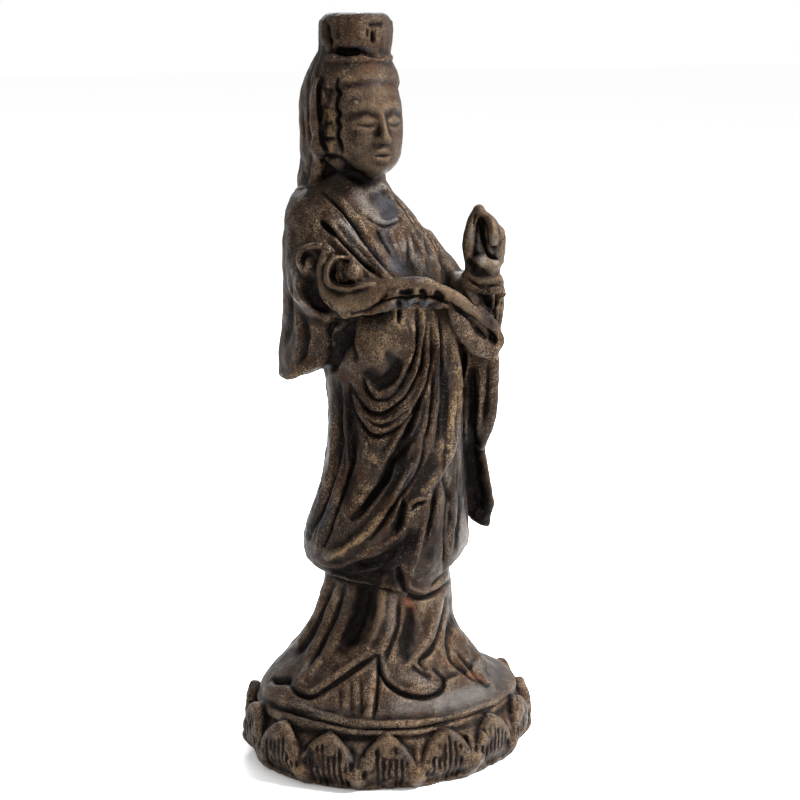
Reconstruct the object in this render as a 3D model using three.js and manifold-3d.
// A cast bronze figure of Guanyin, standing on an oval lotus base and holding a ruyi sceptre.
// Millimetres, +Z up. The origin is the centre of the base's underside and the figure faces -Y.
// The figure's own right hand is towards -X.

import * as THREE from 'three';
import { mergeVertices } from 'three/addons/utils/BufferGeometryUtils.js';
import Module from 'manifold-3d';

const wasm = await Module();
wasm.setup();

// Driving dimensions
const baseHalfWidth = 36.2;
const baseHalfDepth = 31.8;
const baseHeight = 15.4;
const platformInset = 2.2;
const petalCount = 15;
const petalHeight = 11.8;
const backPetalRise = 2;
const petalWidth = 12.6;
const petalThickness = 3.2;
const figureHeight = 165.8;
const petalFoot = 1;
const platformEdge = 1.4;
const lowPetalRise = 2.3;

// The figure is carved in shares of its height: places and sizes below are the millimetres of a
// figure 166 mm tall, and heights are taken from the top of the platform.
const share = figureHeight / 166;
const at = (x, y, height) => new THREE.Vector3(x * share, y * share, baseHeight + height * share);
const degrees = (angle) => (angle * Math.PI) / 180;
const evenly = (from, to, steps) =>
  Array.from({ length: steps + 1 }, (_, i) => from + ((to - from) * i) / steps);

// Solids

// The closed mesh of a geometry, as a solid that can be joined and cut.
function solidOf(geometry) {
  const bare = geometry.clone();
  bare.deleteAttribute('normal');
  bare.deleteAttribute('uv');
  const merged = mergeVertices(bare, 1e-4);
  return new wasm.Manifold(
    new wasm.Mesh({
      numProp: 3,
      vertProperties: new Float32Array(merged.attributes.position.array),
      triVerts: new Uint32Array(merged.index.array),
    }),
  );
}

// A closed skin through rings of points, listed from one end to the other. Each ring runs
// anticlockwise, seen from the end that the list goes towards.
function loft(rings) {
  const count = rings[0].length;
  const middle = (ring) => ring.reduce((sum, p) => sum.add(p), new THREE.Vector3()).divideScalar(count);
  const points = [...rings.flat(), middle(rings[0]), middle(rings[rings.length - 1])];
  const [first, last] = [points.length - 2, points.length - 1];
  const top = (rings.length - 1) * count;
  const index = [];
  for (let i = 0; i < count; i++) {
    const j = (i + 1) % count;
    for (let r = 0; r < top; r += count) {
      index.push(r + i, r + j, r + count + j, r + i, r + count + j, r + count + i);
    }
    index.push(first, j, i, last, top + i, top + j);
  }
  const geometry = new THREE.BufferGeometry().setFromPoints(points);
  geometry.setIndex(index);
  return solidOf(geometry);
}

// Values that change smoothly along a list of rows, [key, value, value ...], as a function of the key.
function smoothRows(rows) {
  const slope = (i, c) => {
    const a = rows[Math.max(i - 1, 0)];
    const b = rows[Math.min(i + 1, rows.length - 1)];
    return (b[c] - a[c]) / (b[0] - a[0]);
  };
  return (key) => {
    let i = rows.findIndex((row) => row[0] > key) - 1;
    if (i === -2) i = rows.length - 2;
    i = Math.max(i, 0);
    const [from, to] = [rows[i], rows[i + 1]];
    const step = to[0] - from[0];
    const t = THREE.MathUtils.clamp((key - from[0]) / step, 0, 1);
    return from.slice(1).map((value, n) => {
      const c = n + 1;
      const [m0, m1] = [slope(i, c) * step, slope(i + 1, c) * step];
      return (
        (2 * t ** 3 - 3 * t ** 2 + 1) * value +
        (t ** 3 - 2 * t ** 2 + t) * m0 +
        (3 * t ** 2 - 2 * t ** 3) * to[c] +
        (t ** 3 - t ** 2) * m1
      );
    });
  };
}

// A form that goes up the figure as smooth oval sections: [height, centre x, centre y, half width,
// half depth].
function column(sections) {
  const section = smoothRows(sections);
  // The point of the form's skin in a direction round it and at a height, moved outwards by lift.
  const skin = (angle, height, lift = 0) => {
    const [x, y, halfWidth, halfDepth] = section(height);
    const turn = degrees(angle);
    return at(x + (halfWidth + lift) * Math.cos(turn), y + (halfDepth + lift) * Math.sin(turn), height);
  };
  return { skin };
}

// The solid between a column's lower and upper edge, which can go up and down with the angle.
function columnSolid(form, angles, low, high, rows) {
  const edge = (value, angle) => (typeof value === 'function' ? value(angle) : value);
  return loft(
    evenly(0, 1, rows).map((t) =>
      angles.map((angle) => form.skin(angle, edge(low, angle) + (edge(high, angle) - edge(low, angle)) * t)),
    ),
  );
}

const roundAngles = (count) => evenly(0, 360, count).slice(0, -1);

// A fold of cloth on a column: a rounded ridge through places [angle, height] on its skin, that
// narrows towards its ends.
function fold(form, places, width, rise, steps = 7) {
  const curve = new THREE.CatmullRomCurve3(
    places.map(([angle, height]) => new THREE.Vector3(angle, height, 0)),
    false,
    'centripetal',
  );
  const place = (t) => {
    const { x: angle, y: height } = curve.getPoint(THREE.MathUtils.clamp(t, 0, 1));
    return { angle, point: form.skin(angle, height, -0.35 * rise) };
  };
  return loft(
    evenly(0, 1, steps).map((t) => {
      const { angle, point } = place(t);
      const along = place(t + 0.02).point.sub(place(t - 0.02).point).normalize();
      const facing = new THREE.Vector3(Math.cos(degrees(angle)), Math.sin(degrees(angle)), 0);
      const across = new THREE.Vector3().crossVectors(along, facing).normalize();
      const out = new THREE.Vector3().crossVectors(across, along).normalize();
      const size = 0.35 + 0.65 * Math.sin(Math.PI * t) ** 0.6;
      return [0, 90, 180, 270].map((turn) =>
        point
          .clone()
          .addScaledVector(across, (width / 2) * size * share * Math.cos(degrees(turn)))
          .addScaledVector(out, -1.35 * rise * size * share * Math.sin(degrees(turn))),
      );
    }),
  );
}

// Folds spread evenly from a first to a last one, both with the same number of places.
const foldsBetween = (form, first, last, count, width, rise, steps) =>
  evenly(0, 1, count - 1).map((t) =>
    fold(
      form,
      first.map((place, i) => place.map((value, n) => value + (last[i][n] - value) * t)),
      width,
      rise,
      steps,
    ),
  );

// A flattened round section swept along a smooth curve through [x, y, height, width, thickness].
// The thickness lies along outward and the width across it.
function sweep(places, { sides = 8, steps = 8, outward = [0, 0, 1] } = {}) {
  const curve = new THREE.CatmullRomCurve3(places.map(([x, y, h]) => at(x, y, h)), false, 'centripetal');
  const size = smoothRows(
    places.map(([, , , width, thickness = width], i) => [i / (places.length - 1), width, thickness]),
  );
  const facing = new THREE.Vector3(...outward);
  return loft(
    evenly(0, 1, steps).map((t) => {
      const along = curve.getTangent(t);
      const across = new THREE.Vector3().crossVectors(along, facing).normalize();
      const out = new THREE.Vector3().crossVectors(across, along).normalize();
      const [width, thickness] = size(t);
      return Array.from({ length: sides }, (_, i) => {
        const turn = (2 * Math.PI * (i + 0.5)) / sides;
        return curve
          .getPoint(t)
          .addScaledVector(across, (width / 2) * share * Math.cos(turn))
          .addScaledVector(out, (-thickness / 2) * share * Math.sin(turn));
      });
    }),
  );
}

// An ellipsoid, tilted about the x, y and z axis.
function ball([x, y, height], [rx, ry, rz], sides = 10, turns = [0, 0, 0]) {
  const geometry = new THREE.SphereGeometry(1, sides, Math.round(sides * 0.7));
  geometry.rotateX(Math.PI / 2);
  geometry.scale(rx * share, ry * share, rz * share);
  geometry.applyQuaternion(new THREE.Quaternion().setFromEuler(new THREE.Euler(...turns.map(degrees))));
  geometry.translate(...at(x, y, height).toArray());
  return solidOf(geometry);
}

const union = (solids) => wasm.Manifold.union(solids);

// Lotus base

const ovalPoint = (angle, z, grow) =>
  new THREE.Vector3(
    (baseHalfWidth + grow) * Math.cos(degrees(angle)),
    (baseHalfDepth + grow) * Math.sin(degrees(angle)),
    z,
  );

const petalPitch = 360 / petalCount;
const firstPetal = 240.7;

// The base's skin, with a row of low petals in it: each stands out by lowPetal in the gap between
// two of the tall petals.
function lotusBase() {
  const waist = petalHeight * 0.95;
  const ring = (z, grow, lowPetal = 0, spread = 0.16) =>
    evenly(0, petalCount - 1, petalCount - 1).flatMap((i) =>
      [0.5 - spread, 0.5, 0.5 + spread].map((t, n) =>
        ovalPoint(firstPetal + (i + t) * petalPitch, z, grow + (n === 1 ? lowPetal : 0)),
      ),
    );
  return loft([
    ring(0, -platformInset * 0.64, lowPetalRise * 0.35, 0.24),
    ring(petalHeight * 0.3, -platformInset * 0.55, lowPetalRise, 0.22),
    ring(petalHeight * 0.62, -platformInset * 0.55, lowPetalRise * 0.83, 0.08),
    ring(waist, -platformInset * 0.82),
    ring(waist + platformEdge * 1.14, -platformInset * 1.27),
    ring(baseHeight - platformEdge, -platformInset),
    ring(baseHeight, -platformInset * 1.36),
  ]);
}

// A lotus petal that leans on the base: a pointed oval through rows [share of its height, share of
// its width, how far it leans out as a share of its thickness], with its edges turned back.
function lotusPetal(angle) {
  const side = new THREE.Vector3(-Math.sin(degrees(angle)), Math.cos(degrees(angle)), 0);
  const out = new THREE.Vector3(Math.cos(degrees(angle)), Math.sin(degrees(angle)), 0);
  const height = petalHeight + backPetalRise * Math.max(0, Math.sin(degrees(angle)));
  const rows = [
    [0, 0.6, -0.19],
    [0.35, 1, 0.47],
    [0.7, 0.8, 0.56],
    [1, 0.12, 0.47],
  ];
  return loft(
    rows.map(([t, wide, lean]) =>
      [0, 60, 120, 240, 300].map((turn) =>
        ovalPoint(angle, petalFoot + height * t, petalThickness * (lean - 0.5))
          .addScaledVector(side, ((petalWidth * wide) / 2) * 1.1 * Math.sin(degrees(turn)))
          .addScaledVector(out, (petalThickness / 2) * (0.4 + 0.6 * wide) * Math.cos(degrees(turn))),
      ),
    ),
  );
}

const lotusPetals = () =>
  evenly(0, petalCount - 1, petalCount - 1).map((i) => lotusPetal(firstPetal + i * petalPitch));

// Robes

const skirt = column([
  [-2, -2, 2.6, 30.2, 24],
  [2, -1.9, 2.7, 29.2, 23],
  [5, -1.6, 2.8, 26.8, 21.4],
  [8.5, -1.3, 2.6, 23.6, 19.4],
  [11.5, -1.2, 2.4, 20.6, 17.6],
  [17, -0.8, 2, 17.4, 15.4],
  [22, -0.4, 1.4, 16.5, 14.6],
  [27, 0, 1, 15.8, 14],
  [34, 0, 1, 15.8, 14],
]);

// The robe's hem: low in front, where the gathered folds end in a tongue, higher at the sides.
const robeHem = smoothRows([
  [0, 35],
  [60, 32],
  [120, 32],
  [165, 34],
  [190, 32.5],
  [215, 31],
  [240, 30.5],
  [252, 29],
  [262, 26.5],
  [272, 26],
  [282, 28],
  [300, 31.5],
  [318, 35],
  [360, 35],
]);

const robe = column([
  [26, -0.5, 1.2, 17, 15],
  [30, -0.6, 1.4, 17.6, 15.6],
  [33, -0.6, 1.3, 19.6, 17.2],
  [37, -0.8, 1.2, 21.3, 18.2],
  [41, -0.6, 1, 20.8, 17.9],
  [45, -0.2, 0.5, 19.8, 17],
  [55, 0.8, -1, 17.8, 15.8],
  [65, 1, -2, 16.8, 15.2],
  [75, 1, -2, 16.8, 15.4],
  [83, 0.5, -1.6, 17.4, 15.8],
  [91, 0, -0.8, 16.8, 15.2],
  [98, -0.8, 0.6, 16.2, 14.4],
]);

const torso = column([
  [90, -0.6, -0.4, 15.8, 13.8],
  [98, -1, 0.8, 16.4, 13.8],
  [103, -1.4, 2.4, 17, 13.2],
  [109, -2.4, 4.4, 17.4, 12.6],
  [115, -3.8, 6.6, 16.4, 11.8],
  [120, -4.4, 7.8, 13.8, 10],
  [124, -4.5, 8.6, 9.8, 7.8],
  [127, -4.5, 8.6, 6.4, 6.4],
  [134, -4.4, 8, 5.6, 5.8],
]);

const robes = [
  columnSolid(skirt, roundAngles(24), -2, 34, 6),
  columnSolid(robe, roundAngles(24), (angle) => robeHem(angle)[0], 98, 9),
  columnSolid(torso, roundAngles(20), 92, 130, 6),
  ball([-6.6, -7.6, 86], [8.6, 8.8, 10.6], 10),
  ...foldsBetween(
    skirt,
    [[208, 27], [202, 14], [196, 6], [192, 0]],
    [[174, 27], [166, 14], [158, 6], [154, 0]],
    3,
    6,
    1.6,
    3,
  ),
  fold(skirt, [[228, 27], [226, 15], [219, 7], [212, 1]], 5.5, 1.6, 3),
  fold(skirt, [[240, 28], [242, 14], [247, 6], [262, 2], [278, 2.6]], 4.5, 1.8, 6),
  fold(skirt, [[262, 26], [263, 14], [269, 7], [280, 3]], 5, 1.5, 3),
  ...foldsBetween(
    skirt,
    [[284, 27], [288, 15], [297, 7], [306, 1]],
    [[312, 27], [318, 15], [326, 7], [334, 1]],
    2,
    6,
    1.6,
    3,
  ),
  ...foldsBetween(skirt, [[24, 27], [22, 12], [18, 1]], [[134, 27], [136, 12], [138, 1]], 3, 7, 1.8, 2),
  ...foldsBetween(
    robe,
    [[198, 88], [208, 79], [228, 74.5], [244, 79], [258, 92]],
    [[204, 71], [215, 64], [228, 62], [244, 67], [265, 90]],
    3,
    3.2,
    1.2,
    6,
  ),
  ...foldsBetween(
    robe,
    [[271, 96], [265, 80], [258, 68], [247, 56], [233, 46], [212, 37]],
    [[290, 96], [284, 78], [277, 62], [267, 50], [256, 41], [232, 32]],
    4,
    4,
    1.6,
    8,
  ),
  ...foldsBetween(
    robe,
    [[300, 94], [294, 75], [288, 60], [279, 45], [269, 27]],
    [[316, 88], [310, 72], [304, 56], [299, 42], [296, 33]],
    2,
    4,
    1.3,
    4,
  ),
  ...foldsBetween(
    robe,
    [[200, 76], [197, 62], [196, 50], [198, 35]],
    [[178, 78], [177, 62], [178, 48], [180, 35]],
    2,
    3.6,
    1.2,
    4,
  ),
  ...foldsBetween(robe, [[28, 90], [26, 60], [24, 36]], [[138, 90], [140, 60], [138, 34]], 3, 6, 1.3, 2),
  fold(torso, [[212, 123], [224, 115], [236, 109], [252, 101]], 3, 1.3, 5),
  fold(torso, [[226, 123], [239, 115], [251, 109], [264, 102]], 3, 1.3, 5),
  fold(torso, [[318, 120], [306, 113], [292, 107], [276, 101]], 3.4, 1.3, 5),
  sweep([[-8, -7, 9, 13, 10], [-13, -13.4, 4.4, 13, 9], [-16.6, -18.2, 1, 9, 5]], { sides: 8, steps: 3 }),
];

// Arms and sleeves

const rightSleeve = column([
  [76, -21.6, 8, 2, 4],
  [80, -21.4, 7.4, 3.6, 7],
  [85, -20.6, 6.6, 4.4, 8.6],
  [92, -19.6, 5.6, 4.8, 9],
  [100, -18.6, 5, 5.8, 9],
  [108, -17.4, 6.6, 6.6, 8.6],
  [114, -15.8, 8.6, 7, 8.2],
  [119, -14.2, 9.4, 6.8, 7.8],
  [123, -12.6, 10, 6, 7.4],
  [126, -11, 10.4, 3.6, 5],
]);

const leftSleeve = column([
  [60, 20.6, -8.6, 1.6, 2.6],
  [65, 20.6, -8.8, 3, 5],
  [72, 20.4, -9, 3.6, 6.8],
  [82, 20, -9, 4, 7.6],
  [92, 19.4, -9.6, 5, 8.6],
  [100, 18.6, -9.8, 5.4, 8.4],
  [104, 18, -9.8, 4.6, 7],
]);

const leftSleeveTail = column([
  [38, 26.2, -5, 1.2, 2],
  [42, 25.6, -4.4, 2.2, 4.4],
  [48, 23.8, -3.6, 2.8, 5.6],
  [58, 21.6, -3, 3.4, 6.4],
  [68, 19.8, -2.6, 3.8, 7],
  [80, 18, -2, 4, 7],
]);

const rightSleeveHem = (angle) => 79 + 5 * Math.max(0, Math.cos(degrees(angle - 285)));

const arms = [
  columnSolid(rightSleeve, roundAngles(12), rightSleeveHem, 126, 7),
  sweep(
    [
      [-15.6, 9, 112, 14, 14],
      [-18.4, 4, 105, 13.6, 13.6],
      [-19.2, -1.2, 102.4, 15, 15],
      [-18.4, -6, 102, 15.5, 15],
    ],
    { sides: 10, steps: 4 },
  ),
  sweep(
    [
      [-18, -2, 101.5, 10, 10],
      [-14, -11, 101, 9, 9],
      [-8, -16.5, 102, 7.6, 7.6],
      [-4, -18, 102.5, 5, 6],
    ],
    { sides: 8, steps: 4 },
  ),
  columnSolid(leftSleeve, roundAngles(10), 60, 104, 5),
  columnSolid(leftSleeveTail, roundAngles(8), 38, 80, 4),
  sweep(
    [
      [9.4, 4.8, 111, 12, 12],
      [13.4, 2, 104.5, 12.5, 12.5],
      [16.6, -3, 98.4, 13, 12.5],
      [16.6, -11, 100, 10.5, 10.5],
      [15.6, -16.5, 103, 8.6, 8.6],
    ],
    { sides: 8, steps: 7 },
  ),
];

// The raised left hand: cuff, palm and bent fingers.
const leftHand = [
  sweep([[15.6, -17.6, 101.8, 9.4, 8.6], [15.4, -18.4, 104.4, 9, 8]], {
    sides: 10,
    steps: 1,
    outward: [0, -1, 0],
  }),
  ball([15.6, -18.6, 110], [5.2, 3.4, 6.6], 8, [0, 6, 0]),
  sweep([[12, -18.4, 110, 3.8, 3.8], [12.4, -18.6, 117, 3.6, 3.6], [13.8, -19, 121.2, 2.4, 2.4]], {
    sides: 6,
    steps: 3,
    outward: [0, -1, 0],
  }),
  ...[15.2, 17, 18.6].map((x, i) =>
    sweep(
      [
        [x, -18.6, 112, 2.8, 3],
        [x + 0.3, -19.2, 117.6 - i, 2.6, 2.8],
        [x, -21.2, 118 - i * 1.4, 2.4, 2.4],
        [x - 0.6, -21.6, 115 - i * 1.2, 1.6, 1.8],
      ],
      { sides: 5, steps: 3, outward: [1, 0, 0] },
    ),
  ),
];

// Ruyi sceptre, held in front of the chest by the right hand

const stalk = sweep(
  [
    [-20.8, -6.2, 111.4, 5.4, 3.4],
    [-21.4, -7.6, 106.4, 4.6, 4],
    [-21, -9.4, 102, 6.2, 4.4],
    [-18.8, -12.8, 100.2, 7.2, 4.8],
    [-13.8, -18.2, 100.8, 5.6, 4.4],
    [-9.8, -20.8, 103.2, 4, 3.6],
    [-4, -23.4, 104, 3.4, 3.4],
    [1, -24.4, 102.4, 3.4, 3.2],
    [6.6, -24.6, 98.8, 3.4, 3],
    [14, -24.4, 91, 3, 3],
  ],
  { sides: 6, steps: 12, outward: [-0.53, -0.85, 0] },
);

// A scroll of the sceptre's head: a curl that turns round its knob, in the plane that faces
// the figure's right front.
const sceptreFacing = new THREE.Vector3(-0.53, -0.85, 0.1).normalize();
function scroll([x, y, height], radius, width, startAngle, sweepAngle) {
  const right = new THREE.Vector3(0.85, -0.53, 0);
  const up = new THREE.Vector3().crossVectors(sceptreFacing, right);
  const places = evenly(0, 1, 6).map((t) => {
    const turn = degrees(startAngle + sweepAngle * t);
    const r = radius * (1 - 0.5 * t);
    const p = new THREE.Vector3(x, y, height)
      .addScaledVector(right, r * Math.cos(turn))
      .addScaledVector(up, r * Math.sin(turn));
    return [p.x, p.y, p.z, width * (1 - 0.35 * t), width * 1.3 * (1 - 0.3 * t)];
  });
  return sweep(places, { sides: 5, steps: 6, outward: sceptreFacing.toArray() });
}

const ruyi = [
  stalk,
  scroll([-17.4, -11.2, 106.4], 3.6, 2.8, 75, 230),
  ball([-16, -12, 106.6], [2, 1.8, 2], 7),
  scroll([-24.2, -4, 109], 2.8, 2.2, 50, 270),
  sweep(
    [
      [3, -23.4, 100, 3, 2.8],
      [4.6, -23.4, 95, 3.8, 3.2],
      [8, -24, 90.4, 5, 3.4],
      [12.6, -24.4, 87.6, 4.4, 3.2],
      [16, -24.4, 88.4, 3, 2.8],
      [15.6, -24.6, 92.4, 2.6, 2.6],
      [9.6, -24.8, 97.6, 3, 2.8],
    ],
    { sides: 5, steps: 7, outward: [-0.53, -0.85, 0] },
  ),
];

const rightHand = [
  [-11.6, -18.6, 101.4],
  [-8.2, -21, 102],
  [-4.4, -22.6, 102.4],
  [-0.4, -23.6, 101.8],
].map(([x, y, height]) =>
  sweep(
    [
      [x, y + 2.6, height - 1.4, 3.2, 3],
      [x, y - 0.4, height - 2.2, 2.8, 2.6],
      [x, y - 1.8, height, 2, 2],
    ],
    { sides: 6, steps: 3, outward: [1, 0, 0] },
  ),
);

// Head

const face = column([
  [127.6, -4.4, 3.2, 2.6, 3],
  [129.4, -4.4, 3.6, 6, 6.2],
  [132, -4.4, 4.4, 8.2, 8.4],
  [136, -4.4, 5.2, 9.6, 9.8],
  [141, -4.4, 5.4, 10, 10.2],
  [146, -4.4, 5.8, 9.8, 9.8],
  [150, -4.4, 6.4, 8.8, 8.6],
  [153, -4.4, 7, 7, 7],
]);

const hairMass = column([
  [116, -4.4, 18, 8, 4],
  [122, -4.4, 17, 10, 6.4],
  [128, -4.4, 15.6, 10.6, 8.6],
  [134, -4.4, 14.4, 11.2, 9.8],
  [140, -4.4, 12.6, 11.5, 10.4],
  [146, -4.4, 11, 11.4, 11.2],
  [150, -4.4, 9.2, 11.1, 11.6],
  [153, -4.4, 8.6, 10.1, 10.6],
  [155.5, -4.4, 8.1, 8.8, 9.1],
  [157.5, -4.4, 7.9, 7.6, 8],
]);

const bun = column([
  [154, -4.4, 7.8, 7.2, 7],
  [157, -4.4, 7.8, 8.2, 7.8],
  [160, -4.4, 7.7, 8.8, 8.2],
  [164.4, -4.4, 7.8, 8.8, 8.2],
  [166, -4.4, 7.8, 7.8, 7.2],
]);

const head = [
  sweep([[-4.5, 8.2, 122, 11, 11.4], [-4.5, 7.8, 132, 10.4, 11.4]], {
    sides: 10,
    steps: 1,
    outward: [0, -1, 0],
  }),
  columnSolid(face, roundAngles(14), 127.6, 153, 6),
  ball([-4.4, -4, 138.4], [1.2, 1.5, 3.2], 6, [-14, 0, 0]),
];

const hair = [
  columnSolid(hairMass, roundAngles(14), 116, 157.5, 9),
  columnSolid(bun, roundAngles(12), 154, 166, 4),
  ...[-1, 1].map((side) =>
    sweep(
      [
        [-4.4 + side * 8.4, 5, 149, 4, 4],
        [-4.4 + side * 9.8, 6.4, 141, 4.6, 5],
        [-4.4 + side * 8.8, 9.6, 132, 4.6, 5],
        [-4.4 + side * 8.6, 11.6, 125, 4.4, 4.4],
      ],
      { sides: 5, steps: 4, outward: [0, 1, 0] },
    ),
  ),
];

const pieces = [
  lotusBase(),
  ...lotusPetals(),
  ...robes,
  ...arms,
  ...leftHand,
  ...ruyi,
  ...rightHand,
  ...head,
  ...hair,
];

const whole = union(pieces);
const mesh = whole.getMesh();
const geometry = new THREE.BufferGeometry();
geometry.setAttribute('position', new THREE.BufferAttribute(new Float32Array(mesh.vertProperties), 3));
geometry.setIndex(new THREE.BufferAttribute(new Uint32Array(mesh.triVerts), 1));
const flat = geometry.toNonIndexed();
flat.computeVertexNormals();

const figure = new THREE.Mesh(
  flat,
  new THREE.MeshStandardMaterial({ color: 0x4a3d30, roughness: 0.45, metalness: 0.85 }),
);
figure.name = 'guanyin_figure';

const part = new THREE.Group();
part.name = 'guanyin_statuette';
part.add(figure);
export default part;
